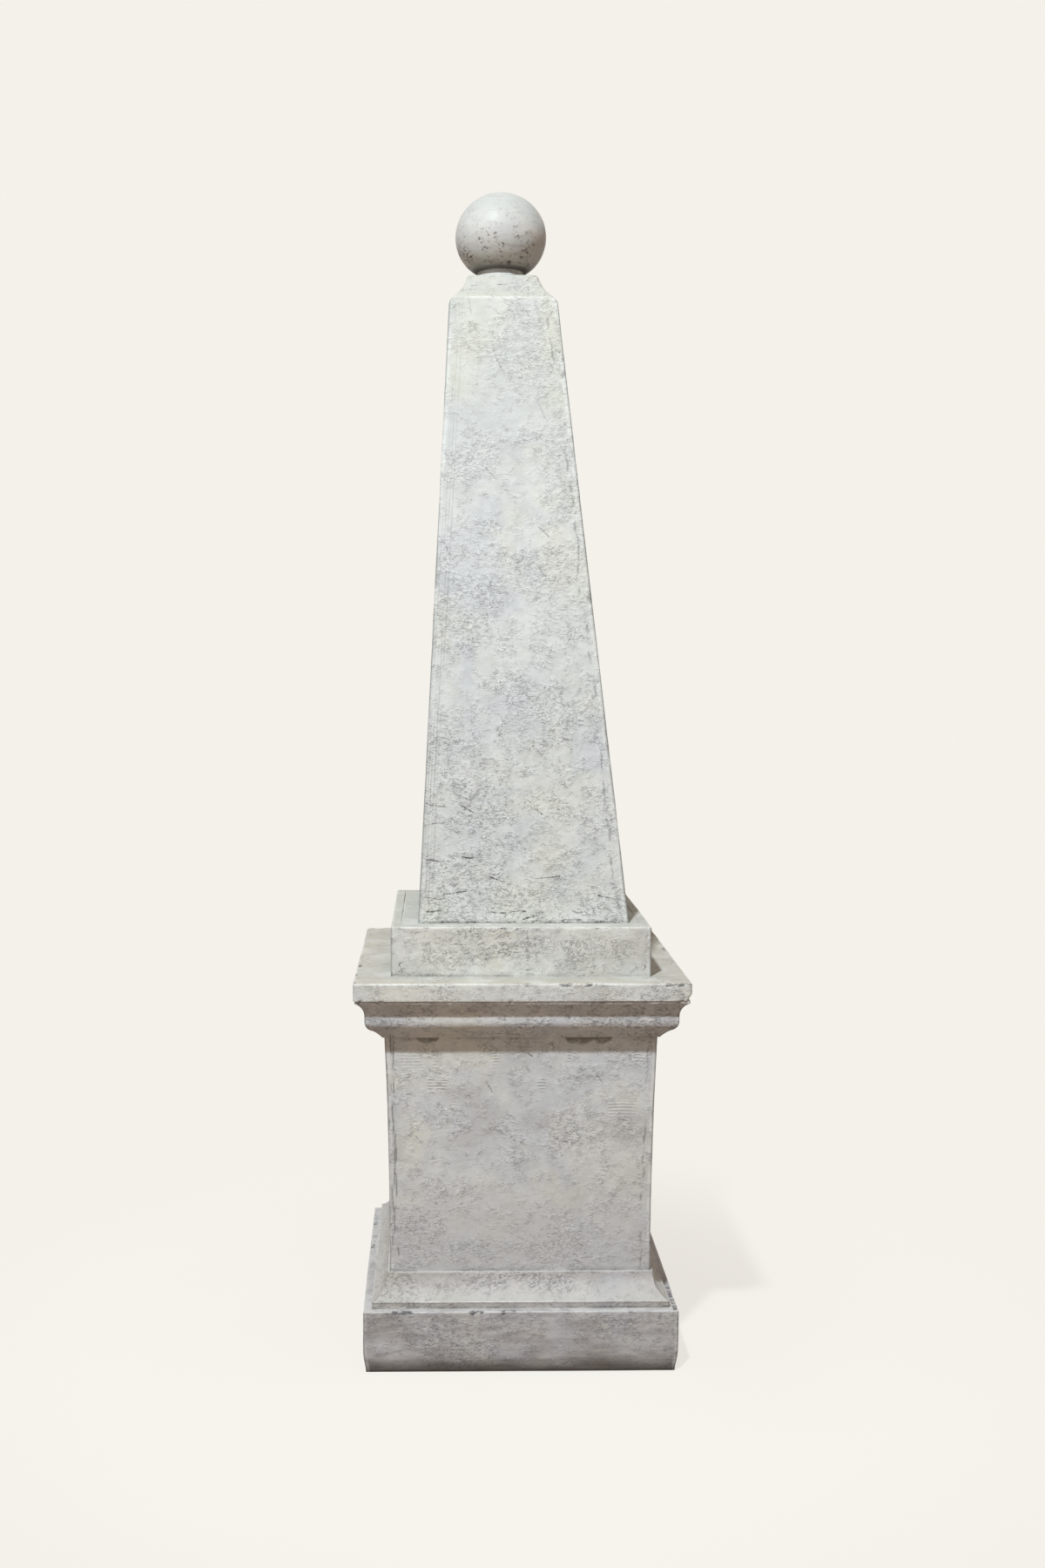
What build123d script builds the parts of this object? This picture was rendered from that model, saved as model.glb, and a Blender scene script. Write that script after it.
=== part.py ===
from build123d import *
import math
import os

os.makedirs("parts", exist_ok=True)

# A garden obelisk built up from boards and mouldings, hollow inside.
# Z = 0 is the ground, the front faces -Y, and the origin is the middle of the plinth's underside.

# Stock
board = 18.0                    # thickness of every board
arris = 3.0                     # rounding of the long outside corners
slab_arris = 4.0                # rounding of the cornice slab's edges

# Plinth and die
plinth_height = 118.5
plinth_ledge = 15.5             # bare shelf of the plinth in front of the base moulding
die_width = 500.0               # at its foot
die_flare = 10.5                # how far each face has leaned out at the foot of the cornice
die_height = 519.0              # from the plinth's top to the foot of the cornice

# Base moulding: an undercut fillet with a hollow slope above it
base_fillet_height = 12.5
base_undercut = 3.0
base_hollow_reach = 29.0
base_hollow_height = 45.0
base_lip_reach = 5.5
base_lip_height = 3.0

# Cornice, from the die outwards and upwards: fillet, lower hollow, round, upper hollow, lip
bed_fillet_reach = 2.0
bed_hollow_reach = 15.0
bed_hollow_height = 22.0
round_reach = 18.5
round_height = 24.0
top_hollow_reach = 17.5
top_hollow_height = 29.0
top_fillet_height = 5.0
slab_lip = 2.0
slab_height = 33.0

# Block under the shaft
slab_ledge = 68.5               # bare top of the slab around the block
block_height = 95.0
block_ledge = 44.5              # bare top of the block around the shaft

# Shaft: square, tapered, set a little off centre and leaning to the left
shaft_height = 1197.0
shaft_top_width = 207.5
shaft_shift = 6.5               # foot of the shaft, to the right of the middle
shaft_lean = 1.92               # degrees to the left

# Cap: rounded shoulder, hollow slope and a narrow fillet under the collar
cap_shoulder_reach = 5.0
cap_shoulder_height = 5.0
cap_hollow_reach = 29.0
cap_hollow_height = 42.0
cap_fillet_reach = 4.0
cap_fillet_height = 3.0

# Collar in two steps, and a ball a little flattened and cut off where it sits
collar_foot_radius = 50.0
collar_foot_height = 8.5
collar_seat_radius = 45.0
collar_seat_height = 9.5
ball_radius = 89.0
ball_half_height = 85.0
ball_side_radius = 80.0         # curvature at the ball's waist; its ends are flatter
ball_overhang = 8.0             # the ball's flat underside stands out beyond the collar

# Levels
plinth_top = plinth_height
die_top = plinth_top + die_height
cornice_height = bed_hollow_height + round_height + top_hollow_height + top_fillet_height
slab_foot = die_top + cornice_height
slab_top = slab_foot + slab_height
block_top_level = slab_top + block_height
shaft_top = block_top_level + shaft_height
cap_height = cap_shoulder_height + cap_hollow_height + cap_fillet_height
cap_top = shaft_top + cap_height
collar_top = cap_top + collar_foot_height + collar_seat_height
ball_foot_radius = collar_seat_radius + ball_overhang
ball_end_radius = (ball_radius ** 2 + ball_half_height ** 2 - 2 * ball_radius * ball_side_radius) / (
    2 * (ball_half_height - ball_side_radius)
)
ball_end_rise = ball_end_radius - ball_half_height
ball_drop = math.sqrt(ball_end_radius ** 2 - ball_foot_radius ** 2) - ball_end_rise
ball_centre = collar_top + ball_drop

# Half widths
die_foot_half = die_width / 2
die_head_half = die_foot_half + die_flare
die_spread = die_flare / die_height
base_reach = base_lip_reach + base_hollow_reach
base_height = base_fillet_height + base_hollow_height + base_lip_height
plinth_half = die_foot_half + base_reach + plinth_ledge
cornice_reach = bed_fillet_reach + bed_hollow_reach + round_reach + top_hollow_reach
slab_half = die_head_half + cornice_reach + slab_lip
block_half = slab_half - slab_ledge
shaft_foot_half = block_half - block_ledge
shaft_top_half = shaft_top_width / 2
cap_top_half = shaft_top_half - cap_shoulder_reach - cap_hollow_reach - cap_fillet_reach


def axis_x(level):
    """Middle of the leaning shaft at a level."""
    return shaft_shift - (level - block_top_level) * math.tan(math.radians(shaft_lean))


def board_section(side, half):
    """Centre and size of a board's section: left and right run through, front and back fit between."""
    middle = half - board / 2
    if side == "left":
        return (-middle, 0), (board, 2 * half)
    if side == "right":
        return (middle, 0), (board, 2 * half)
    if side == "front":
        return (0, -middle), (2 * (half - board), board)
    return (0, middle), (2 * (half - board), board)


def outer_corners(piece, side):
    """Upright edges of a left or right board that are corners of the whole."""
    upright = piece.edges().sort_by(Axis.Z)[4:8].sort_by(Axis.X)
    return upright[:2] if side == "left" else upright[2:]


def box_board(name, side, half, foot, height):
    """One upright board of a square box."""
    centre, size = board_section(side, half)
    with BuildPart() as piece:
        with BuildSketch(Plane.XY.offset(foot)):
            with Locations(centre):
                Rectangle(*size)
        extrude(amount=height)
        if side in ("left", "right"):
            fillet(outer_corners(piece, side), arris)
    piece.part.label = name
    export_step(piece.part, f"parts/{name}.step")


def tapered_board(name, side, foot, head):
    """One board of a box whose foot and head are given as level, half width and middle in x."""
    with BuildPart() as piece:
        for level, half, middle in (foot, head):
            centre, size = board_section(side, half)
            with BuildSketch(Plane.XY.offset(level)):
                with Locations((centre[0] + middle, centre[1])):
                    Rectangle(*size)
        loft(ruled=True)
        if side in ("left", "right"):
            fillet(outer_corners(piece, side), arris)
    piece.part.label = name
    export_step(piece.part, f"parts/{name}.step")


def flat_board(name, half, foot, height, rounding=0.0):
    """A level square board, with its edges rounded where they show."""
    with BuildPart() as piece:
        with BuildSketch(Plane.XY.offset(foot)):
            Rectangle(2 * half, 2 * half)
        extrude(amount=height)
        if rounding:
            fillet(piece.edges(), rounding)
    piece.part.label = name
    export_step(piece.part, f"parts/{name}.step")


OUTWARD = {
    "front": Vector(0, -1, 0),
    "back": Vector(0, 1, 0),
    "left": Vector(-1, 0, 0),
    "right": Vector(1, 0, 0),
}


def moulding(name, side, foot, face, draw_profile):
    """One mitred length of a moulding, its section drawn outwards from the die's face at its foot."""
    outward = OUTWARD[side]
    along = outward.cross(Vector(0, 0, 1))
    section = Plane(origin=outward * face + Vector(0, 0, foot), x_dir=outward, z_dir=along)
    with BuildPart() as piece:
        with BuildSketch(section):
            with BuildLine():
                draw_profile()
            make_face()
        extrude(amount=slab_half, both=True)
        split(bisect_by=Plane(origin=(0, 0, 0), z_dir=outward + along), keep=Keep.TOP)
        split(bisect_by=Plane(origin=(0, 0, 0), z_dir=outward - along), keep=Keep.TOP)
    piece.part.label = name
    export_step(piece.part, f"parts/{name}.step")


def base_profile():
    """Undercut fillet, hollow slope and small lip, with a back that follows the die."""
    back_top = (die_spread * base_height, base_height)
    foot_reach = base_reach - base_undercut
    slope_top = (base_lip_reach, base_height - base_lip_height)
    nose = (base_reach, base_fillet_height)
    Polyline((base_lip_reach, base_height), back_top, (0, 0), (foot_reach, 0))
    Polyline((foot_reach, 0), (foot_reach, base_fillet_height - base_undercut), nose)
    TangentArc(slope_top, nose, tangent=(0, -1))
    Line(slope_top, (base_lip_reach, base_height))


def cornice_profile():
    """Fillet, lower hollow, round, upper hollow and top fillet, with a back that follows the die."""
    back_top = (die_spread * cornice_height, cornice_height)
    bed_foot = (bed_fillet_reach, 0)
    bed_head = (bed_foot[0] + bed_hollow_reach, bed_hollow_height)
    round_head = (bed_head[0] + round_reach, bed_head[1] + round_height)
    top_nose = (round_head[0] + top_hollow_reach, round_head[1] + top_hollow_height)
    Polyline(top_nose, (top_nose[0], cornice_height), back_top, (0, 0), bed_foot)
    TangentArc(bed_foot, bed_head, tangent=(0, 1))
    TangentArc(round_head, bed_head, tangent=(0, -1))
    TangentArc(round_head, top_nose, tangent=(0, 1))


SIDES = ("front", "back", "left", "right")

# Plinth: four boards, a bottom board and a deck let in between them
for side in SIDES:
    box_board(f"plinth_{side}", side, plinth_half, 0, plinth_height)
flat_board("plinth_bottom", plinth_half - board, 0, board)
flat_board("plinth_deck", plinth_half - board, plinth_top - board, board)

# Die, with its base moulding and the cornice planted on its upper end
die_foot = (plinth_top, die_foot_half, 0)
die_head = (slab_foot, die_head_half + die_spread * cornice_height, 0)
for side in SIDES:
    tapered_board(f"die_{side}", side, die_foot, die_head)
    moulding(f"base_moulding_{side}", side, plinth_top, die_foot_half, base_profile)
    moulding(f"cornice_{side}", side, die_top, die_head_half, cornice_profile)
flat_board("cornice_slab", slab_half, slab_foot, slab_height, slab_arris)

# Block: four boards with a top let in between them
for side in SIDES:
    box_board(f"block_{side}", side, block_half, slab_top, block_height)
flat_board("block_top", block_half - board, block_top_level - board, board)

# Shaft
shaft_foot = (block_top_level, shaft_foot_half, axis_x(block_top_level))
shaft_head = (shaft_top, shaft_top_half, axis_x(shaft_top))
for side in SIDES:
    tapered_board(f"shaft_{side}", side, shaft_foot, shaft_head)

# Cap on the shaft: the same hollow slope on all four sides
with BuildPart() as shaft_cap:
    cap_middle = (axis_x(shaft_top), 0, shaft_top)
    for across, through in ((Vector(1, 0, 0), Vector(0, -1, 0)), (Vector(0, 1, 0), Vector(1, 0, 0))):
        with BuildSketch(Plane(origin=cap_middle, x_dir=across, z_dir=through)):
            with BuildLine():
                shoulder = (shaft_top_half - cap_shoulder_reach, cap_shoulder_height)
                hollow_top = (shoulder[0] - cap_hollow_reach, shoulder[1] + cap_hollow_height)
                TangentArc((shaft_top_half, 0), shoulder, tangent=(0, 1))
                TangentArc(hollow_top, shoulder, tangent=(0, -1))
                Polyline(hollow_top, (cap_top_half, cap_height), (0, cap_height), (0, 0), (shaft_top_half, 0))
            make_face()
            mirror(about=Plane.YZ)
        extrude(amount=shaft_top_half, both=True, mode=Mode.INTERSECT if shaft_cap.part else Mode.ADD)
shaft_cap.part.label = "shaft_cap"
export_step(shaft_cap.part, "parts/shaft_cap.step")

# Collar: two turned steps under the ball
with BuildPart() as ball_collar:
    with BuildSketch(Plane.XY.offset(cap_top)):
        with Locations((axis_x(cap_top), 0)):
            Circle(collar_foot_radius)
    extrude(amount=collar_foot_height)
    with BuildSketch(Plane.XY.offset(cap_top + collar_foot_height)):
        with Locations((axis_x(cap_top), 0)):
            Circle(collar_seat_radius)
    extrude(amount=collar_seat_height)
ball_collar.part.label = "ball_collar"
export_step(ball_collar.part, "parts/ball_collar.step")

# Ball: a waist arc between two flatter end arcs, turned about the upright line through the cap
with BuildPart() as ball_finial:
    with BuildSketch(Plane(origin=(axis_x(cap_top), 0, ball_centre), x_dir=(1, 0, 0), z_dir=(0, -1, 0))):
        with BuildLine():
            waist = (ball_radius, 0)
            to_joint = Vector(ball_radius - ball_side_radius, ball_end_rise).normalized() * ball_side_radius
            joint_x = ball_radius - ball_side_radius + to_joint.X
            joint_y = to_joint.Y
            TangentArc(waist, (joint_x, joint_y), tangent=(0, 1))
            TangentArc((0, ball_half_height), (joint_x, joint_y), tangent=(1, 0))
            lower_waist = TangentArc(waist, (joint_x, -joint_y), tangent=(0, -1))
            TangentArc(lower_waist @ 1, (ball_foot_radius, -ball_drop), tangent=lower_waist % 1)
            Polyline((ball_foot_radius, -ball_drop), (0, -ball_drop), (0, ball_half_height))
        make_face()
    revolve(axis=Axis((axis_x(cap_top), 0, 0), (0, 0, 1)))
ball_finial.part.label = "ball_finial"
export_step(ball_finial.part, "parts/ball_finial.step")
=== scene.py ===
import math

import bmesh
import bpy
import numpy as np
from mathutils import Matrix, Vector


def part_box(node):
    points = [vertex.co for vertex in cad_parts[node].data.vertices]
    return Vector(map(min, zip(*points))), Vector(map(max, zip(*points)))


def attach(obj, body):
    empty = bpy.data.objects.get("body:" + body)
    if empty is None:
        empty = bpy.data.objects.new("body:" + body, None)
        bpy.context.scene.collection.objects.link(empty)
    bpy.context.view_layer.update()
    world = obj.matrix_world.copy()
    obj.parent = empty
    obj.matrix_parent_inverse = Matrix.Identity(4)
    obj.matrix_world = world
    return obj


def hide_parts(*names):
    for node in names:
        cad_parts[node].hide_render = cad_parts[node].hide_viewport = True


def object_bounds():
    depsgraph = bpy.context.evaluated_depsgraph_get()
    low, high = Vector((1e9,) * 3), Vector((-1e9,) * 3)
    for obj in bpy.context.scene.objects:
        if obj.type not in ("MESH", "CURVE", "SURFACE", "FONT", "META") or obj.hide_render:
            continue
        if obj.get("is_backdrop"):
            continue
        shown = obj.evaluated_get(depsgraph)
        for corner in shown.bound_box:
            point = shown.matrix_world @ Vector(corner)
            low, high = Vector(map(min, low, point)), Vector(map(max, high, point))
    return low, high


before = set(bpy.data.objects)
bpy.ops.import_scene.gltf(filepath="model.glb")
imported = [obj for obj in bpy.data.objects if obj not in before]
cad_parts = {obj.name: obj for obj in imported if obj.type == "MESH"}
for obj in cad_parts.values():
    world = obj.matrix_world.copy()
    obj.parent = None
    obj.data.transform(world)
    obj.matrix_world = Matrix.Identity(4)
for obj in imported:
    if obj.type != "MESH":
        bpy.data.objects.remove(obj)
cad_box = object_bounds()

MM = 0.001


# ---------------------------------------------------------------------------------------------
# Sizes, read from the CAD nodes
# ---------------------------------------------------------------------------------------------

def corners(node):
    """Lowest and highest corner of a CAD node."""
    low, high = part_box(node)
    return np.array(low), np.array(high)


plinth_low, plinth_high = corners("plinth_left")
base_high = corners("base_moulding_front")[1]
cornice_low, cornice_high = corners("cornice_front")
slab_low, slab_high = corners("cornice_slab")
block_low, block_high = corners("block_left")
shaft_low, shaft_high = corners("shaft_left")
cap_low, cap_high = corners("shaft_cap")
collar_high = corners("ball_collar")[1]
ball_low, ball_high = corners("ball_finial")

PLINTH_TOP = plinth_high[2]
BASE_TOP = base_high[2]
CORNICE_FOOT = cornice_low[2]
SLAB_FOOT = slab_low[2]
SLAB_TOP = slab_high[2]
BLOCK_TOP = block_high[2]
SHAFT_TOP = shaft_high[2]
CAP_TOP = cap_high[2]
COLLAR_TOP = collar_high[2]

BOARD = plinth_high[0] - plinth_low[0]
PLINTH_HALF = -plinth_low[0]
DIE_FOOT_HALF = -base_high[1]
DIE_HEAD_HALF = -cornice_high[1]
SLAB_HALF = -slab_low[0]
BLOCK_HALF = -block_low[0]
SHAFT_FOOT_HALF = -shaft_low[1]
SHAFT_TOP_HALF = (cap_high[0] - cap_low[0]) / 2
CAP_TOP_HALF = SHAFT_TOP_HALF - 38 * MM

# The shaft leans: its middle in x at the foot, and at the cap
SHAFT_FOOT_X = (corners("shaft_left")[0][0] + corners("shaft_right")[1][0]) / 2
SHAFT_TOP_X = (cap_low[0] + cap_high[0]) / 2
BALL_X = (ball_low[0] + ball_high[0]) / 2

# The die's faces lean out by this much a metre
DIE_SPREAD = (DIE_HEAD_HALF - DIE_FOOT_HALF) / (CORNICE_FOOT - PLINTH_TOP)

SIDES = ("front", "back", "left", "right")
OUTWARD = dict(zip(SIDES, np.array([(0, -1, 0), (0, 1, 0), (-1, 0, 0), (1, 0, 0)], float)))
ALONG = dict(zip(SIDES, np.array([(1, 0, 0), (-1, 0, 0), (0, -1, 0), (0, 1, 0)], float)))


def half_at(level):
    """Half width of the boarded core at a level."""
    share = (level - BLOCK_TOP) / (SHAFT_TOP - BLOCK_TOP)
    shaft = SHAFT_FOOT_HALF + share * (SHAFT_TOP_HALF - SHAFT_FOOT_HALF)
    die = DIE_FOOT_HALF + (level - PLINTH_TOP) * DIE_SPREAD
    lower = [level < PLINTH_TOP, level < SLAB_FOOT, level < SLAB_TOP, level < BLOCK_TOP]
    return np.select(lower, [PLINTH_HALF, die, SLAB_HALF, BLOCK_HALF], shaft)


def axis_at(level):
    """Middle of the leaning shaft in x at a level, and 0 below it."""
    share = (level - BLOCK_TOP) / (SHAFT_TOP - BLOCK_TOP)
    return np.where(level < BLOCK_TOP, 0.0, SHAFT_FOOT_X + share * (SHAFT_TOP_X - SHAFT_FOOT_X))


# ---------------------------------------------------------------------------------------------
# Noise and the relief of the hand-trowelled skin
# ---------------------------------------------------------------------------------------------

LATTICE = np.random.default_rng(7).uniform(-1, 1, (40, 40, 40))


def noise(points, size, shift=0.0):
    """Smooth noise from about -1 to 1 with features of about size metres, one size or one an axis."""
    spot = points / np.asarray(size) + 913.7 + shift * np.array([7.31, 3.17, 5.93])
    cell = np.floor(spot).astype(int)
    part = spot - cell
    part = part * part * (3 - 2 * part)
    total = 0.0
    for corner in np.ndindex(2, 2, 2):
        weight = np.prod(np.where(corner, part, 1 - part), axis=-1)
        at = (cell + corner) % 40
        total = total + weight * LATTICE[at[..., 0], at[..., 1], at[..., 2]]
    return total * 1.4


def layered(points, size, layers, shift=0.0):
    """Noises added up, each with half the size and half the strength of the one before."""
    total = 0.0
    for layer in range(layers):
        total = total + 0.5 ** layer * noise(points, np.asarray(size) * 0.5 ** layer, shift + 1.7 * layer)
    return total / (2 - 2 * 0.5 ** layers)


def ease(value, start, end):
    """0 at start and 1 at end, with a soft change between."""
    ratio = np.clip((value - start) / (end - start), 0, 1)
    return ratio * ratio * (3 - 2 * ratio)


def relief(points, busy):
    """Height of the trowelled skin above the board at each point."""
    sway = 1.1 * layered(points, 0.40, 2, 1)
    lumps = 0.35 * layered(points, (0.070, 0.070, 0.050), 2, 2)
    strokes = 0.34 * layered(points, (0.022, 0.022, 0.009), 2, 3)
    return (sway + lumps + strokes * (0.15 + 0.85 * busy)) * MM


# ---------------------------------------------------------------------------------------------
# Marks on the paint. Along a side, places run from left to right as that side is seen.
# ---------------------------------------------------------------------------------------------

DRAW = np.random.default_rng(21)


def strew_cuts(side, start, end, count, length, tilt, depth, width=2.8, crowd=1):
    """Trowel cuts over one side of a member: middle, half run, width and depth.

    A crowd above 1 draws them towards the start, where they are deepest. Tilt is their turn in degrees
    at the start and the end.
    """
    cuts = []
    for _ in range(count):
        share = DRAW.uniform(0, 1) ** crowd
        level = start + share * (end - start)
        middle = axis_at(level) * ALONG[side][0] + DRAW.uniform(-0.9, 0.9) * half_at(level)
        angle = math.radians(DRAW.normal(tilt[0] + share * (tilt[1] - tilt[0]), 12))
        run = 0.5 * length * DRAW.uniform(0.4, 1.5)
        run = run * math.cos(angle), run * math.sin(angle)
        deep = depth * (1 - 0.75 * math.sqrt(share)) * DRAW.uniform(0.7, 1.2)
        cuts.append((middle, level, *run, width * DRAW.uniform(0.8, 1.25), deep))
    return cuts


def side_cuts(side):
    """Cuts over whole members: they crowd level at the shaft's foot, and diagonal at the die's head."""
    return [
        *strew_cuts(side, BLOCK_TOP, SHAFT_TOP, 48, 30 * MM, (0, -70), 1.3, 3.2, crowd=7),
        *strew_cuts(side, SHAFT_TOP, CAP_TOP, 4, 9 * MM, (0, 0), 1.4),
        *strew_cuts(side, SLAB_TOP, BLOCK_TOP, 8, 12 * MM, (0, 0), 1.4),
        *strew_cuts(side, CORNICE_FOOT, BASE_TOP, 14, 15 * MM, (-45, 0), 0.9, crowd=3),
        *strew_cuts(side, PLINTH_TOP, BASE_TOP, 2, 12 * MM, (-45, -45), 0.8),
        *strew_cuts(side, 0.0, PLINTH_TOP, 5, 11 * MM, (45, 45), 0.6),
    ]


def strew_chips(level, half, end, count):
    """Chips out of an arris, from its middle to its left or right end: place, level and half width."""
    return [(end * DRAW.uniform(0, 1) * half, level, DRAW.uniform(4, 11) * MM) for _ in range(count)]


def side_chips():
    """Chips come on the right half of the slab's upper arris and on the left half of the plinth's."""
    return [
        *strew_chips(SLAB_TOP - 2 * MM, SLAB_HALF, 1, 10),
        *strew_chips(PLINTH_TOP - 2 * MM, PLINTH_HALF, -1, 7),
    ]


def side_plugs(side):
    """Filled screw holes at the members' lower corners, one board in and one up, half of them seen."""
    plugs = []
    for foot in (0.0, BASE_TOP, SLAB_TOP, BLOCK_TOP):
        level = foot + BOARD
        for end in (-1, 1):
            place = axis_at(level) * ALONG[side][0] + end * (half_at(level) - BOARD)
            plug = place + DRAW.normal(0, 3) * MM, level + DRAW.normal(0, 3) * MM, DRAW.uniform(6, 9) * MM
            if DRAW.uniform() < 0.5:
                plugs.append(plug)
    return plugs


def side_stains():
    """Brown stains hanging under the cornice: place, half width and height."""
    places = DRAW.uniform(-0.9, 0.9, 3) * DIE_HEAD_HALF
    halves = DRAW.uniform(12, 40, 3) * MM
    return [(place, half, half * DRAW.uniform(0.4, 1.0)) for place, half in zip(places, halves)]


CUTS = {side: side_cuts(side) for side in SIDES}
CHIPS = {side: side_chips() for side in SIDES}
PLUGS = {side: side_plugs(side) for side in SIDES}
STAINS = {side: side_stains() for side in SIDES}


def sides_of(points, facing):
    """Each side that shows, which points face it, and how far along it they lie."""
    for side in SIDES:
        toward = facing @ OUTWARD[side] > 0.6
        if toward.any():
            yield side, toward, points[toward] @ ALONG[side]


def cut_marks(side, along, level):
    """The nearest cut or plug: signed distance from its line in mm, nearness, and depth in mm.

    The distance runs straight through its line, so the shaders can draw that far finer than the mesh.
    """
    spot = np.stack([along, 0 * along, level], axis=-1)
    along = along + 1.4 * MM * noise(spot, 11 * MM, 50)
    level = level + 1.4 * MM * noise(spot, 11 * MM, 53)
    nearest = np.full_like(along, 99.0)
    offset = np.full_like(along, 9.0)
    strength = np.zeros_like(along)
    for at, at_level, run, climb, width, deep in CUTS[side]:
        beside, above = along - at, level - at_level
        length = math.hypot(run, climb)
        share = np.clip((beside * run + above * climb) / length ** 2, -1, 1)
        away = np.hypot(beside - share * run, above - share * climb) / MM
        closer = away < nearest
        nearest = np.where(closer, away, nearest)
        offset = np.where(closer, (beside * climb - above * run) / length / MM * 2.6 / width, offset)
        strength = np.where(closer, deep, strength)
    for at, at_level, radius in PLUGS[side]:
        turn = np.arctan2(level - at_level, along - at)
        wobble = 1 + 0.14 * np.sin(2 * turn + 90 * at) + 0.10 * np.sin(3 * turn + 60 * at)
        aside = (np.hypot(along - at, level - at_level) - radius * wobble) / MM
        closer = np.abs(aside) < nearest
        nearest = np.where(closer, np.abs(aside), nearest)
        offset = np.where(closer, aside, offset)
        strength = np.where(closer, np.clip(0.25 - 0.65 * np.sin(turn + 20 * at), 0, 1), strength)
    near = ease(nearest, 4.5, 2.0) * np.clip(strength, 0, 1)
    depth = 0.45 * strength * np.exp(-(nearest / 2.2) ** 2)
    return np.clip(offset, -9, 9), near, depth


def chip_marks(side, along, level, points):
    """How far each point lies in a chip out of an arris, from 0 to 1."""
    bite = np.zeros_like(along)
    ragged = noise(points, 6 * MM, 70)
    for at, at_level, half in CHIPS[side]:
        away = ((along - at) / half) ** 2 + ((level - at_level) / (3.5 * MM)) ** 2 + 0.8 * ragged
        bite = np.maximum(bite, ease(away, 1.3, 0.5))
    return bite


def stain_marks(side, along, level, points):
    """Stains that hang from the cornice's foot, ragged below."""
    stain = np.zeros_like(along)
    ragged = 0.7 * layered(points, 14 * MM, 2, 90)
    for at, half, height in STAINS[side]:
        drop = np.clip((CORNICE_FOOT - level) / height, 0, 2)
        inside = ((along - at) / half) ** 2 + drop ** 2 + ragged
        stain = np.maximum(stain, ease(inside, 1.1, 0.6) * (level < CORNICE_FOOT + MM))
    return stain


def joint_marks(points, upright):
    """Depth in mm and darkness of the board joints, beside the corners of the front and the back."""
    x, z = points[..., 0], points[..., 2]
    back = points[..., 1] > 0
    half = half_at(z)
    middle = axis_at(z)
    from_left = np.where(back, middle + half - x, x - middle + half) / MM
    from_right = np.where(back, x - middle + half, middle + half - x) / MM
    spot = np.stack([np.where(back, 0.5, 0.0) * np.ones_like(z), np.zeros_like(z), z], axis=-1)
    shaft = (z > BLOCK_TOP) & (z < SHAFT_TOP)
    die = (z > BASE_TOP) & (z < CORNICE_FOOT + 10 * MM)
    depth = np.zeros_like(z)
    dark = np.zeros_like(z)

    # Left: fine scribed lines side by side on the shaft, short ragged ones on the die
    fading = 1 - 0.6 * ease(z, (BLOCK_TOP + SHAFT_TOP) / 2, SHAFT_TOP)
    board = BOARD / MM
    climb = 3 * ease(z, BLOCK_TOP, SHAFT_TOP)
    for number in range(4):
        place = (number + 1) / 3 * board + 1.6 * layered(spot, 0.12, 3, 20 + number) + climb
        broken = ease(layered(spot, 0.09, 3, 30 + number), -0.50, 0.25)
        line = np.exp(-((from_left - place) / 0.8) ** 2) * (0.15 + 0.85 * broken) * shaft * fading
        depth += 0.5 * line
        dark = np.maximum(dark, 0.42 * line)
    for number in range(3):
        sway = 4.0 * layered(spot, 0.10, 2, 36 + number) + 3.0 * layered(spot, 0.022, 2, 39 + number)
        place = (number + 1) / 3 * board + sway
        ragged = ease(layered(spot, 0.028, 3, 46 + number), -0.12, 0.28)
        line = np.exp(-((from_left - place) / 1.3) ** 2) * ragged * die
        depth += 0.8 * line
        dark = np.maximum(dark, 0.85 * line)

    # Right: one wandering crack with dark strokes beside it
    place = board + 8.0 * layered(spot, 0.20, 2, 40) + 4.5 * layered(spot, 0.030, 3, 43)
    open_part = ease(layered(spot, 0.05, 3, 41), -0.15, 0.40)
    line = np.exp(-((from_right - place) / 1.0) ** 2) * open_part
    strokes = np.exp(-((from_right - place - 1) / 2.2) ** 2) * ease(layered(spot, 0.016, 3, 42), 0.15, 0.65)
    depth += 0.7 * line
    dark = np.maximum(dark, np.maximum(0.7 * line, 0.6 * strokes))
    boarded = upright & (shaft | die)
    return depth * boarded, dark * boarded


def crease_marks(z, points, upright):
    """Grime and painted shade just above and just below the joints between the members: a dark band in the
    corners, and under the cornice and the slab.
    """
    dirt_and_shade = np.zeros_like(z)
    for level in (PLINTH_TOP, BASE_TOP, SLAB_TOP, BLOCK_TOP, CAP_TOP, COLLAR_TOP):
        dirt_and_shade += 1.3 * np.exp(-(z - level) / (3 * MM)) * (z >= level - 0.5 * MM)
    for level in (CORNICE_FOOT, SLAB_FOOT):
        dirt_and_shade += 0.9 * np.exp(-(level - z) / (3.5 * MM)) * (z <= level + 0.5 * MM)
    broken = ease(layered(points, (0.05, 0.05, 0.02), 3, 84), -0.55, 0.25)
    return np.clip(dirt_and_shade, 0, 1) * upright * broken


def wrinkle_marks(z, points):
    """How thickly the wrinkles lie: in patches, more at the foot of the shaft and on the mouldings."""
    shaft = (0.4 + 0.6 * ease(z, BLOCK_TOP + 0.40, BLOCK_TOP + 0.02)) * (z > BLOCK_TOP)
    moulded = ((z > CORNICE_FOOT) & (z < SLAB_FOOT)) | ((z > PLINTH_TOP) & (z < BASE_TOP))
    patches = layered(points, (0.085, 0.085, 0.060), 3, 4)
    return ease(0.6 * patches + 0.28 * shaft + 0.20 * moulded, -0.12, 0.42)


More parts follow.
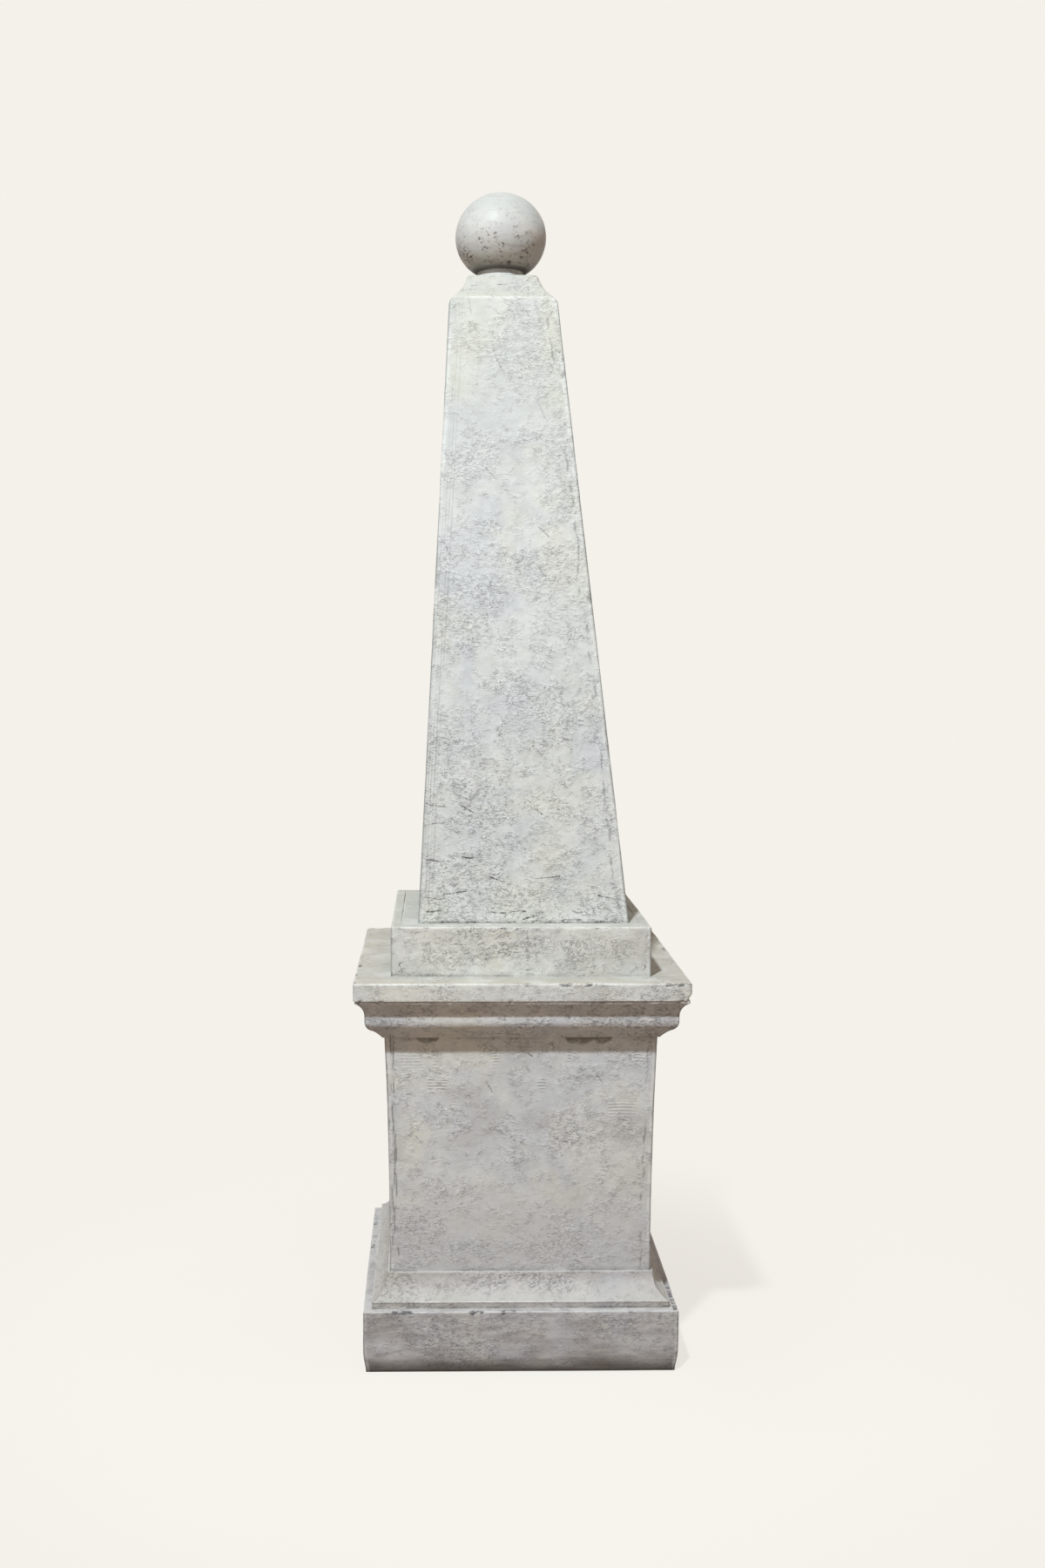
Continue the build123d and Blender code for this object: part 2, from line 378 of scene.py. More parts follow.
def smoke_marks(z, points):
    """Grey grime: above the ledges and at the ends of the lower members, and drifts on the plinth."""
    ledge = np.zeros_like(z)
    for level in (PLINTH_TOP, BASE_TOP, SLAB_TOP):
        ledge = np.maximum(ledge, np.exp(-(z - level) / (24 * MM)) * (z >= level - 0.5 * MM))
    from_end = half_at(z) - np.minimum(np.abs(points[..., 0]), np.abs(points[..., 1]))
    ends = ease(from_end, 90 * MM, 0)
    drift = layered(points, (0.11, 0.11, 0.06), 3, 91)
    amount = np.select([z < PLINTH_TOP, z < BLOCK_TOP], [1.0, 0.5], 0.0)
    return amount * ease(drift + 0.35 * ledge + 0.45 * ends, 0.15, 0.75)


def paint_marks(points, facing, edge, rim):
    """What the paint shows at each point: how deep it is cut in metres, and the marks for the shaders."""
    z = points[..., 2]
    upward = ease(facing[..., 2], 0.20, 0.90)
    upright = 1 - ease(np.abs(facing[..., 2]), 0.5, 0.9)
    line, cut, cut_depth, chip, stain = np.full(z.shape, 9.0), *np.zeros((4, *z.shape))
    for side, toward, along in sides_of(points, facing):
        line[toward], cut[toward], cut_depth[toward] = cut_marks(side, along, z[toward])
        stain[toward] = stain_marks(side, along, z[toward], points[toward])
    for side in SIDES:
        near = points @ OUTWARD[side] > 0.972 * half_at(z - MM)
        chip = np.maximum(chip, chip_marks(side, points @ ALONG[side], z, points) * near)
    joint_depth, joint_dark = joint_marks(points, np.abs(facing[..., 1]) > 0.6)

    # Small chips come anywhere along the arrises
    bite = ease(noise(points, 7 * MM, 80), 0.55, 0.95) * ease(layered(points, 0.07, 2, 81), 0.0, 0.5) * edge
    ragged = ease(noise(points, 6 * MM, 70), 0.5, -0.3)
    # The fillet's face under the base moulding's lip is painted grey, together with the smoke marks
    fillet = ease(z, PLINTH_TOP + 11.5 * MM, PLINTH_TOP + 9 * MM) * (z > PLINTH_TOP + 0.5 * MM)
    curls = (z > SLAB_TOP) & (z < BLOCK_TOP)
    combed = ease(z, (BASE_TOP + CORNICE_FOOT) / 2, (BASE_TOP + 3 * CORNICE_FOOT) / 4) * (z < CORNICE_FOOT)
    outward = np.maximum(np.abs(points[..., 0] - axis_at(z - MM)), np.abs(points[..., 1])) / half_at(z - MM)
    return (cut_depth + joint_depth + 1.6 * chip + 0.9 * bite) * MM, {
        # Painted highlight along the worn arrises, less on their outer halves
        "edge": edge * ease(noise(points, (0.05, 0.05, 0.03), 83), -0.9, 0.1) * (1 - 0.8 * rim),
        # Painted shade: a dark line on the outer half of each arris, where it turns away
        "rim": rim * ease(layered(points, (0.02, 0.02, 0.05), 2, 86), -0.8, 0.0),
        # Dark joints and chips, and grime with painted shade in the corners between members
        "dirt_and_shade": np.maximum.reduce([joint_dark, 0.8 * crease_marks(z, points, upright),
                                   chip * ragged, 0.6 * bite]),
        "line": line,
        "cut": cut,
        "smoke": np.maximum(smoke_marks(z, points), 0.60 * fillet) * (1 - upward),
        "busy": wrinkle_marks(z, points),
        "stain": stain,
        "comb": ease(layered(points, (0.024, 0.024, 0.050), 2, 95), 0.42, 0.80) * combed,
        "curl": ease(layered(points, (0.070, 0.070, 0.022), 2, 93), 0.15, 0.50) * curls * upright,
        "level": upward,
        "in_from_rim": ease(outward, 0.96, 0.6),
    }


# ---------------------------------------------------------------------------------------------
# Meshes
# ---------------------------------------------------------------------------------------------

def weld(mesh):
    """Join points that coincide, so that no face without area is left."""
    work = bmesh.new()
    work.from_mesh(mesh)
    bmesh.ops.remove_doubles(work, verts=work.verts, dist=0.02 * MM)
    bmesh.ops.dissolve_degenerate(work, edges=work.edges, dist=0.02 * MM)
    work.to_mesh(mesh)
    work.free()


def skin(name, points, facing, lift, edge, rim, material, nodes):
    """A closed piece over CAD nodes, from rows of points that each run once round it.

    Lift says how much of the relief each point takes, edge how near it is to an arris, which shows
    wear and is painted paler as a highlight, and rim how near to the arris's outer side, painted dark as
    shade.
    """
    carve, marks = paint_marks(points, facing, edge, rim)
    height = relief(points, marks["busy"]) - carve
    points = points + facing * (height * lift)[..., None]
    rows, count = points.shape[:2]
    index = np.arange(rows * count).reshape(rows, count)
    lower, upper = index[:-1], index[1:]
    around = (lower, np.roll(lower, -1, 1), np.roll(upper, -1, 1), upper)
    faces = np.stack(around, axis=-1).reshape(-1, 4).tolist()
    faces += [index[0][::-1].tolist(), index[-1].tolist()]
    mesh = bpy.data.meshes.new(name)
    mesh.from_pydata(points.reshape(-1, 3).tolist(), [], faces)
    for mark, values in marks.items():
        layer = mesh.attributes.new(mark, "FLOAT", "POINT")
        layer.data.foreach_set("value", np.ascontiguousarray(values, dtype=np.float32).ravel())
    weld(mesh)
    mesh.polygons.foreach_set("use_smooth", [True] * len(mesh.polygons))
    mesh.set_sharp_from_angle(angle=math.radians(50))
    mesh.materials.append(material)
    piece = bpy.data.objects.new(name, mesh)
    bpy.context.scene.collection.objects.link(piece)
    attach(piece, "root")
    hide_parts(*nodes)
    return piece


def steps(start, end, step):
    """Even steps from start to end."""
    return np.linspace(start, end, max(2, int(round(abs(end - start) / step)) + 1))


def facings(grid):
    """Outward direction at every point of a grid whose rows run round the piece."""
    around = np.roll(grid, -1, axis=1) - np.roll(grid, 1, axis=1)
    normal = np.cross(around, np.gradient(grid, axis=0))
    normal /= np.maximum(np.linalg.norm(normal, axis=-1, keepdims=True), 1e-9)
    outward = grid - grid.mean(axis=(0, 1))
    return normal * np.sign((normal * outward).sum(axis=-1).mean())


def end_columns(half, radius, arris, side):
    """Columns round one upright corner of a board, from the back of its edge to its face.

    Each is the distance along, the depth behind the face, the way it faces, and how near it is to
    the arris, which shows wear and is painted paler as a highlight, and to its outer side, painted
    dark as shade.
    """
    columns = []
    for depth in steps(BOARD, max(2 * arris, radius.max() + MM), 1.3 * MM):
        columns.append((side * half, depth, 90 * side, max(0, 3 - depth / arris), 0.0))
    for turn, edge, rim in ((90, 1.0, 0.2), (67, 1.0, 0.6), (45, 1.0, 1.0), (22, 0.6, 1.0), (0, 0.2, 1.0)):
        angle = math.radians(turn)
        reach = side * (half - radius * (1 - math.sin(angle)))
        columns.append((reach, radius * (1 - math.cos(angle)), turn * side, edge, rim))
    return columns


def board(node, side, foot, head, step, slot, material,
          arris=3 * MM, back=0.0, top=0.0, shoulder=0.0, bow=0.0, worn_foot=0.0):
    """One upright board. foot and head are its level, the box's half width and its middle in x.

    With top, its upper edge shows: rounded by top and then level. Shoulder rounds the outer upper
    corner of the side boards, back the box's rear corners, bow hollows the face a little, and
    worn_foot draws its lowest edge in.
    """
    through = side in ("left", "right")
    outward, along = OUTWARD[side], ALONG[side]
    levels = steps(foot[0], head[0] - top, step)
    if shoulder:
        near = steps(head[0] - 1.6 * shoulder, head[0], 1.5 * MM)
        levels = np.concatenate([levels[levels < near[0] - MM], near])
    inset = np.zeros_like(levels)
    if top:
        turn = np.radians((22, 45, 68, 90))
        flat = steps(top, BOARD - 1.5 * MM, 3 * MM)[1:]
        levels = np.concatenate([levels, head[0] - top + top * np.sin(turn), np.full_like(flat, head[0])])
        inset = np.concatenate([inset, top * (1 - np.cos(turn)), flat])
    share = (levels - foot[0]) / (head[0] - foot[0])
    half = foot[1] + share * (head[1] - foot[1]) - bow * np.sin(math.pi * share)
    half = half - worn_foot * np.exp(-((levels - foot[0]) / (24 * MM)) ** 2)
    middle = foot[2] + share * (head[2] - foot[2])
    near_top = np.clip((levels - head[0]) / (1.4 * shoulder + MM) + 1, 0, 1)
    drop = shoulder * (1 - np.sqrt(1 - near_top ** 2))

    # The outer corners are worn unevenly
    lot = SIDES.index(side)
    spot = np.stack([np.full_like(levels, 0.37 * lot), np.zeros_like(levels), levels], axis=-1)
    round_start = arris * (1 + 0.5 * layered(spot, 0.14, 3, 60)) + (back if side == "left" else 0)
    round_end = arris * (1 + 0.5 * layered(spot, 0.14, 3, 64)) + (back if side == "right" else 0)

    columns = []
    if through:
        columns += end_columns(half, round_start, arris, -1)
        for part in steps(-1, 1, step / half.max())[1:-1]:
            away = (1 - abs(part)) * half.max()
            inner = half - (1.2 * arris + back)
            columns.append((part * inner, 0, 0, max(0, 1 - away / (6 * MM)), max(0, 0.8 - away / (8 * MM))))
        columns += end_columns(half, round_end, arris, 1)[::-1]
    else:
        reach = half - BOARD
        strip = 10 * MM
        for offset in steps(0, strip, 1.3 * MM)[:-1]:
            columns.append((offset - reach, 0, 0, 0, 0))
        for part in steps(-1, 1, step / (half.max() - BOARD)):
            columns.append((part * (reach - strip), 0, 0, 0, 0))
        for offset in steps(strip, 0, 1.3 * MM)[1:]:
            columns.append((reach - offset, 0, 0, 0, 0))
        columns.append((reach, BOARD, 0, 0, 0))
        columns.append((-reach, BOARD, 0, 0, 0))

    rows = len(levels)
    reach = np.stack([column[0] for column in columns], axis=1)
    depth = np.stack([column[1] + 0 * half for column in columns], axis=1)
    angle = np.radians([column[2] for column in columns])
    edge = np.tile([float(column[3]) for column in columns], (rows, 1))
    rim = np.tile([float(column[4]) for column in columns], (rows, 1))
    lift = (depth < BOARD - 0.1 * MM).astype(float) if not through else np.ones_like(depth)
    if through:
        keep = (half - np.minimum(inset, top))[:, None]
        reach = np.clip(reach, -keep, keep)
        depth = depth + drop[:, None] * np.maximum(0, 1 - depth / BOARD)
    depth = np.maximum(depth, inset[:, None])

    points = reach[..., None] * along + (half[:, None] - depth)[..., None] * outward
    points[..., 0] += middle[:, None]
    points[..., 2] = levels[:, None]
    facing = np.sin(angle)[:, None] * along + np.cos(angle)[:, None] * outward
    tilt = ease(levels, head[0] - top, head[0])[:, None, None] if top else np.zeros((rows, 1, 1))
    facing = facing * (1 - tilt) + np.array([0, 0, 1.0]) * tilt
    # On the level top the wear, and the arris's painted highlight and shade, go by a point's own place, as
    # columns run together there
    edge, rim = edge * (1 - tilt[..., 0]), rim * (1 - tilt[..., 0])
    worn_and_highlit = np.zeros((rows, 1))
    if top:
        worn_and_highlit = np.exp(-((levels - head[0] + 0.4 * top) / (1.3 * MM)) ** 2)[:, None] * (depth < 4 * MM)
    if shoulder:
        worn_and_highlit = np.exp(-((levels - head[0]) / (2.2 * MM)) ** 2)[:, None]
    edge = np.maximum(edge, worn_and_highlit * lift)
    return skin(node + "_skin", points, facing, lift, edge, rim, material, [node])


def rounded_profile(points, radius, step):
    """A profile of (reach, level) points with its corners eased and its runs divided evenly."""
    points = np.array(points, float)
    length = np.concatenate([[0], np.cumsum(np.linalg.norm(np.diff(points, axis=0), axis=1))])
    fine = np.linspace(0, length[-1], int(length[-1] / (0.25 * MM)) + 1)
    line = np.stack([np.interp(fine, length, points[:, axis]) for axis in (0, 1)], axis=1)
    width = max(3, int(radius / (0.25 * MM)))
    window = np.hanning(2 * width + 1)
    window /= window.sum()
    padded = np.concatenate([np.repeat(line[:1], width, 0), line, np.repeat(line[-1:], width, 0)])
    soft = np.stack([np.convolve(padded[:, axis], window, "valid") for axis in (0, 1)], axis=1)
    soft[0], soft[-1] = line[0], line[-1]
    count = max(3, int(round(length[-1] / step)) + 1)
    keep = np.linspace(0, len(soft) - 1, count).round().astype(int)
    return soft[keep]


def arc(start, end, tangent, count=24):
    """Points of the circular arc that leaves start along tangent and comes to end."""
    start, end = np.array(start, float), np.array(end, float)
    tangent = np.array(tangent, float) / np.linalg.norm(tangent)
    chord = end - start
    across = np.array([-tangent[1], tangent[0]])
    if chord @ across < 0:
        across = -across
    radius = (chord @ chord) / (2 * chord @ across)
    centre = start + across * radius
    sweep = 2 * math.atan2(chord @ across, chord @ tangent)
    turn = np.linspace(0, sweep, count)
    return centre + radius * (np.outer(np.sin(turn), tangent) - np.outer(np.cos(turn), across))


def moulding(node, side, profile, face, step, material, gap=0.5 * MM):
    """One mitred length of moulding, its profile given as reach from the die's face and level."""
    outward, along = OUTWARD[side], ALONG[side]
    reach, level = profile[:, 0], profile[:, 1]
    hidden = np.array([[-1 * MM, level[-1]], [-1 * MM, level[0]]])
    reach = np.concatenate([reach, hidden[:, 0]])
    level = np.concatenate([level, hidden[:, 1]])
    run = np.gradient(np.stack([reach, level], axis=1), axis=0)
    normal = np.stack([run[:, 1], -run[:, 0]], axis=1)
    normal /= np.linalg.norm(normal, axis=1, keepdims=True)
    bend = np.linalg.norm(np.gradient(normal, axis=0), axis=1)
    arris = ease(bend, 0.12, 0.35) * ease(reach, 2 * MM, 6 * MM)
    shown = np.ones_like(reach)
    shown[[0, -3, -2, -1]] = 0

    strip = 12 * MM
    longest = face + reach.max()
    starts = [(-1.0, offset) for offset in steps(0, strip, 1.6 * MM)[:-1]]
    middles = [(part, None) for part in steps(-1, 1, step / (longest - strip))]
    ends = [(1.0, offset) for offset in steps(strip, 0, 1.6 * MM)[1:]]
    rows = []
    for part, offset in starts + middles + ends:
        length = face + reach - gap
        rows.append(part * (length - (strip if offset is None else offset)))
    away = np.stack(rows)
    points = away[..., None] * along + (face + reach)[None, :, None] * outward
    points[..., 2] = level[None, :]
    facing = normal[None, :, :1] * outward + normal[None, :, 1:] * np.array([0, 0, 1.0])
    facing = np.broadcast_to(facing, points.shape)
    near_end = ease(face + reach - np.abs(away), 10 * MM, 0)
    lift = shown * (1 - 0.5 * near_end)
    # Towards the mitred ends the arris is painted paler as a highlight, and the very end dark as painted
    # shade
    edge = np.maximum(np.broadcast_to(arris, away.shape), near_end ** 3 * 0.8 * shown)
    rim = near_end ** 8 * shown
    return skin(node + "_skin", points, facing, lift, edge, rim, material, [node])


def square_rings(profile, middle, step, radii):
    """Grid of square rings, one for each (half width, level) of a profile.

    The radii are those of the corners that end the front, right, back and left sides.
    """
    widest = max(half for half, _ in profile)
    sides = steps(-1, 1, step / widest)
    grid = []
    for half, level in profile:
        sharp = [min(radius, 0.4 * half) for radius in radii]
        ring = []
        for number, side in enumerate(("front", "right", "back", "left")):
            outward, along = OUTWARD[side], ALONG[side]
            start, end = sharp[number - 1], sharp[number]
            for part in sides:
                run = part * half - (start if part < 0 else end) * part * abs(part)
                ring.append(run * along + half * outward)
            for angle in np.radians((18, 36, 54, 72)):
                spot = (half - end) * (along + outward)
                ring.append(spot + end * (math.sin(angle) * along + math.cos(angle) * outward))
        ring = np.array(ring)
        ring[:, 0] += middle
        ring[:, 2] = level
        grid.append(ring)
    return np.array(grid)


def round_rings(profile, middle, count):
    """Grid of round rings, one for each (radius, level) of a profile."""
    turn = np.linspace(0, 2 * math.pi, count, endpoint=False)
    ring = np.stack([np.cos(turn), np.sin(turn)], axis=1)
    grid = np.zeros((len(profile), count, 3))
    for row, (radius, level) in enumerate(profile):
        grid[row, :, :2] = radius * ring
        grid[row, :, 2] = level
    grid[..., 0] += middle
    return grid


# ---------------------------------------------------------------------------------------------
# Materials
# ---------------------------------------------------------------------------------------------

# A pale paint never shows lighter than this
PALEST = 0.83

# Levels in metres: where the shaft's marks thin out, where it is painted older and darker, partly as
# painted shade, and where the die is painted darker towards its foot, partly as painted shade
THINNING = (1.05, 1.75)
AGED_AND_SHADED = (1.5, 2.0)
DAMP_AND_SHADE = (0.50, 0.22)


class Graph:
    """A material's nodes and its colour so far. Distances are in metres.

    A method that gives something adds a node and gives its output.
    """

    def __init__(self, name, colour=(0.5, 0.5, 0.5)):
        self.material = bpy.data.materials.new(name)
        self.material.use_nodes = True
        self.tree = self.material.node_tree
        self.shader = self.tree.nodes["Principled BSDF"]
        self.place = self.tree.nodes.new("ShaderNodeTexCoord").outputs["Object"]
        self.colour = colour

    def set(self, socket, value):
        """Links an output to a socket, or writes a constant on it."""
        if isinstance(value, bpy.types.NodeSocket):
            self.tree.links.new(value, socket)
        elif socket.type == "RGBA" and len(value) == 3:
            socket.default_value = (*value, 1)
        else:
            socket.default_value = value

    def math(self, operation, *values):
        node = self.tree.nodes.new("ShaderNodeMath")
        node.operation = operation
        for socket, value in zip(node.inputs, values):
            self.set(socket, value)
        return node.outputs[0]

    def chain(self, operation, values):
        result = values[0]
        for value in values[1:]:
            result = self.math(operation, result, value)
        return result

    def times(self, *values):
        return self.chain("MULTIPLY", values)

    def plus(self, *values):
        return self.chain("ADD", values)

    def most(self, *values):
        return self.chain("MAXIMUM", values)

    def ease(self, value, start, end, low=0.0, high=1.0):
        """low where the value is start, high where it is end, with a soft change between."""
        node = self.tree.nodes.new("ShaderNodeMapRange")
        node.interpolation_type = "SMOOTHSTEP"
        for socket, number in zip(node.inputs, (value, start, end, low, high)):
            self.set(socket, number)
        return node.outputs[0]

    def mix(self, share, first, second):
        """From the first colour to the second."""
        node = self.tree.nodes.new("ShaderNodeMix")
        node.data_type = "RGBA"
        for socket, value in zip(("Factor", 6, 7), (share, first, second)):
            self.set(node.inputs[socket], value)
        return node.outputs[2]

    def cover(self, share, colour):
        """Lays a colour over what is there so far."""
        self.colour = self.mix(share, self.colour, colour)

    def shade(self, factor):
        """Makes the colour lighter or darker by a factor."""
        node = self.tree.nodes.new("ShaderNodeVectorMath")
        node.operation = "SCALE"
        self.set(node.inputs[0], self.colour)
        self.set(node.inputs["Scale"], factor)
        self.colour = node.outputs[0]

    def slanted(self, degrees):
        """The place turned about the depth axis, for strokes that run aslant."""
        node = self.tree.nodes.new("ShaderNodeVectorRotate")
        node.rotation_type = "Y_AXIS"
        self.set(node.inputs["Vector"], self.place)
        node.inputs["Angle"].default_value = math.radians(degrees)
        return node.outputs[0]

    def spread(self, size, shift=0.0, place=None):
        """The place divided by a size, one or one an axis, so that features come out that large."""
        sizes = (size, size, size) if isinstance(size, float) else size
        node = self.tree.nodes.new("ShaderNodeVectorMath")
        node.operation = "MULTIPLY_ADD"
        self.set(node.inputs[0], place or self.place)
        node.inputs[1].default_value = tuple(1 / length for length in sizes)
        node.inputs[2].default_value = (shift, 1.7 * shift, -0.6 * shift)
        return node.outputs[0]

    def texture(self, kind, place, **settings):
        """A texture node at a place, with its numbers by the names of its sockets."""
        node = self.tree.nodes.new(kind)
        self.set(node.inputs["Vector"], place)
        for socket, value in settings.items():
            node.inputs[socket.replace("_", " ")].default_value = value
        return node

    def noise(self, size, detail=2.0, rough=0.5, twist=0.0, shift=0.0, place=None):
        node = self.texture("ShaderNodeTexNoise", self.spread(size, shift, place),
                            Scale=1.0, Detail=detail, Roughness=rough, Distortion=twist)
        return node.outputs["Fac"]

    def patch(self, size, detail, rough, twist, shift, *ends):
        """Noise eased into patches."""
        return self.ease(self.noise(size, detail, rough, twist, shift), *ends)

    def cells(self, size, shift=0.0):
        """Distance to the nearest of scattered points, in sizes."""
        return self.texture("ShaderNodeTexVoronoi", self.spread(size, shift), Scale=1.0).outputs["Distance"]

    def bands(self, size, twist):
        """Level ridges one above the other, size apart."""
        node = self.texture("ShaderNodeTexWave", self.spread(size),
                            Scale=0.314, Distortion=twist, Detail=1.0, Detail_Scale=0.4)
        node.bands_direction = "Z"
        return node.outputs["Fac"]

    def mark(self, name):
        """One of the marks that skin writes on the mesh."""
        node = self.tree.nodes.new("ShaderNodeAttribute")
        node.attribute_name = name
        return node.outputs["Fac"]

    def level(self):
        """Height above the ground."""
        node = self.tree.nodes.new("ShaderNodeSeparateXYZ")
        self.set(node.inputs[0], self.place)
        return node.outputs["Z"]

    def bump(self, height, distance):
        node = self.tree.nodes.new("ShaderNodeBump")
        node.inputs["Strength"].default_value = 1.0
        node.inputs["Distance"].default_value = distance
        self.set(node.inputs["Height"], height)
        self.set(self.shader.inputs["Normal"], node.outputs[0])

    def finish(self, rough, specular=0.3):
        self.set(self.shader.inputs["Base Color"], self.colour)
        self.set(self.shader.inputs["Roughness"], rough)
        self.shader.inputs["Specular IOR Level"].default_value = specular
        return self.material


class Paint(Graph):
    """Trowelled masonry paint, laid on step by step over its pale ground."""

    def __init__(self, name, pale):
        super().__init__(name, pale)
        self.pale = np.array(pale)
        self.cream = self.pale * (1.01, 0.985, 0.89)
        self.grey = self.pale * (0.60, 0.60, 0.62)
        self.dark = self.pale * (0.26, 0.255, 0.265)

    def cloud(self, cloudy):
        """Soft clouds and cream patches, and a mottling in every size."""
        self.clouds = self.noise(0.17, 3.0, 0.55, 0.6, 3.0)
        self.cover(self.patch(0.13, 3.0, 0.5, 0.4, 11.0, 0.46, 0.64, 0.0, cloudy), self.cream)
        cool = self.pale * (0.88, 0.905, 0.985)
        self.cover(self.ease(self.clouds, 0.48, 0.66, 0.0, 1.4 * cloudy), cool)
        self.mottle = self.noise(0.032, 5.0, 0.62, 0.4, 5.0)
        self.grain = self.noise(0.0024, 2.0, 0.6, 0.0, 8.0)
        mottled = self.ease(self.mottle, 0.32, 0.66, 0.91, 1.04)
        self.shade(self.plus(mottled, self.ease(self.grain, 0.25, 0.75, -0.03, 0.03)))

    def roughen(self, flecks, smudges, slant, fading):
        """Where the trowel left the paint rough: smudges, dark creases whose lips are painted paler as a
        highlight, and specks.
        """
        lay = self.slanted(slant) if slant else self.place
        lie = self.noise(0.025, 4.0, 0.62, 0.4, 14.0)
        self.rough = self.ease(self.plus(lie, self.times(self.mark("busy"), 0.22)), 0.36, 0.84)
        ground = self.ease(self.rough, 0.0, 1.0, 0.22, 1.0)
        smudge = self.patch((0.017, 0.017, 0.011), 4.0, 0.62, 0.6, 24.0, 0.49, 0.66)
        self.fold = self.noise((0.0092, 0.0092, 0.0047), 2.0, 0.6, 0.9, 16.0, lay)
        self.broken = self.patch((0.009, 0.009, 0.006), 2.0, 0.6, 0.0, 18.0, 0.48, 0.60)
        crease = self.ease(self.math("ABSOLUTE", self.plus(self.fold, -0.5)), 0.040, 0.010)
        lip = self.times(self.ease(self.fold, 0.535, 0.57), self.ease(self.fold, 0.650, 0.590))
        speck = self.ease(self.noise((0.0074, 0.0074, 0.0037), 2.0, 0.6, 0.7, 17.0, lay), 0.57, 0.65)
        marks = self.most(self.times(crease, self.broken), self.times(speck, 0.9))
        self.marks = self.times(marks, self.rough)
        self.lip = self.times(lip, self.broken, self.rough, 0.9)
        if fading:
            self.marks = self.times(self.marks, self.ease(self.level(), *THINNING, 1.0, 0.55))
        self.cover(self.times(smudge, ground, smudges), self.grey)
        # Painted highlight on the lips beside the creases
        self.cover(self.lip, np.minimum(self.pale * (1.13, 1.13, 1.14), PALEST))
        self.cover(self.times(self.marks, flecks), self.dark)

    def curl_and_comb(self):
        """Curls of filler, and combed ridges."""
        contour = self.math("ABSOLUTE", self.plus(self.noise(0.010, 1.0, 0.5, 1.6, 27.0), -0.5))
        self.curl = self.times(self.ease(contour, 0.040, 0.005), self.mark("curl"))
        uneven = self.ease(self.mottle, 0.38, 0.55, 0.3, 1.0)
        self.comb = self.times(self.bands(0.0060, 3.2), self.mark("comb"), uneven)
        self.cover(self.times(self.curl, 0.6), self.dark)
        self.cover(self.times(self.ease(self.comb, 0.45, 0.9), 0.55), self.grey * 0.8)

    def weather(self, dust_and_shade, ledge, fading, damp_and_shade):
        """Dust on level tops, its tone partly painted shade, and their rims painted paler as a highlight;
        then age and painted shade on the shaft's top, smoke, and the die's foot painted darker, partly as
        shade.
        """
        # Painted highlight on the rims of level tops; further in, dust whose tone is partly painted shade
        settled = self.mix(self.mark("in_from_rim"), self.pale * ledge, self.pale * dust_and_shade)
        lying = self.patch((0.06, 0.06, 0.03), 3.0, 0.5, 0.0, 0.0, 0.3, 0.6, 0.55, 0.95)
        self.cover(self.times(self.mark("level"), lying), settled)
        # The shaft is painted older and darker towards its top, partly as painted shade against the lamp's
        # stronger light there
        if fading:
            self.cover(self.ease(self.level(), *AGED_AND_SHADED, 0.0, 0.20), self.pale * (0.70, 0.68, 0.50))
        smoke = self.times(self.mark("smoke"), self.ease(self.mottle, 0.35, 0.60, 0.55, 1.0))
        self.cover(self.times(smoke, 0.75), self.pale * (0.60, 0.575, 0.565))
        # The die is painted darker towards its foot, partly as painted shade
        if damp_and_shade:
            low = self.ease(self.plus(self.level(), self.times(self.clouds, 0.12)), *DAMP_AND_SHADE, 0.0, damp_and_shade)
            self.cover(low, self.pale * (0.78, 0.775, 0.80))

    def smear(self, smears):
        """Drifts and streaks left by the brush."""
        drift = self.patch((0.12, 0.12, 0.035), 4.0, 0.6, 0.8, 31.0, 0.46, 0.66, 0.0, smears)
        self.cover(drift, self.pale * (0.56, 0.535, 0.53))
        streak = self.noise((0.075, 0.075, 0.013), 5.0, 0.66, 1.0, 33.0)
        self.cover(self.ease(streak, 0.53, 0.68, 0.0, 0.6 * smears), self.dark * 1.6)
        self.cover(self.ease(streak, 0.47, 0.34, 0.0, 0.6 * smears), self.cream * 1.12)

    def darken_foot(self, grime):
        """Darker towards the ground, over the lowest few cm and most in the lowest few mm."""
        wave = self.patch((0.10, 0.10, 0.02), 3.0, 0.5, 0.0, 0.0, 0.3, 0.7, -0.004, 0.004)
        rise = self.plus(self.level(), wave)
        self.cover(self.ease(rise, 0.034, 0.003, 0.0, grime), (0.090, 0.074, 0.062))
        self.cover(self.ease(self.level(), 0.006, 0.002, 0.0, 0.8), (0.05, 0.042, 0.036))

    def wear(self, glare):
        """Arrises that show wear, painted paler as a highlight and dark on their outer halves as painted
        shade; grime in the cuts; dark joints and chips with painted shade in the corners; and stains.
        """
        # Painted highlight: the worn arrises are painted paler
        worn_and_highlit = self.times(self.mark("edge"), self.patch(0.014, 3.0, 0.6, 0.0, 35.0, 0.28, 0.55))
        self.cover(self.times(worn_and_highlit, 0.75), np.minimum(self.pale * glare, PALEST))
        # Painted shade: a dark line on the outer half of each arris
        self.cover(self.times(self.mark("rim"), 0.8), self.pale * (0.42, 0.43, 0.44))
        bend = self.plus(self.mark("line"), self.times(self.plus(self.fold, -0.5), 4.5))
        groove = self.times(self.ease(self.math("ABSOLUTE", bend), 1.25, 0.35), self.mark("cut"))
        self.groove = self.times(groove, self.ease(self.broken, 0.0, 0.6, 0.45, 1.0))
        self.cover(self.groove, self.dark * 0.6)
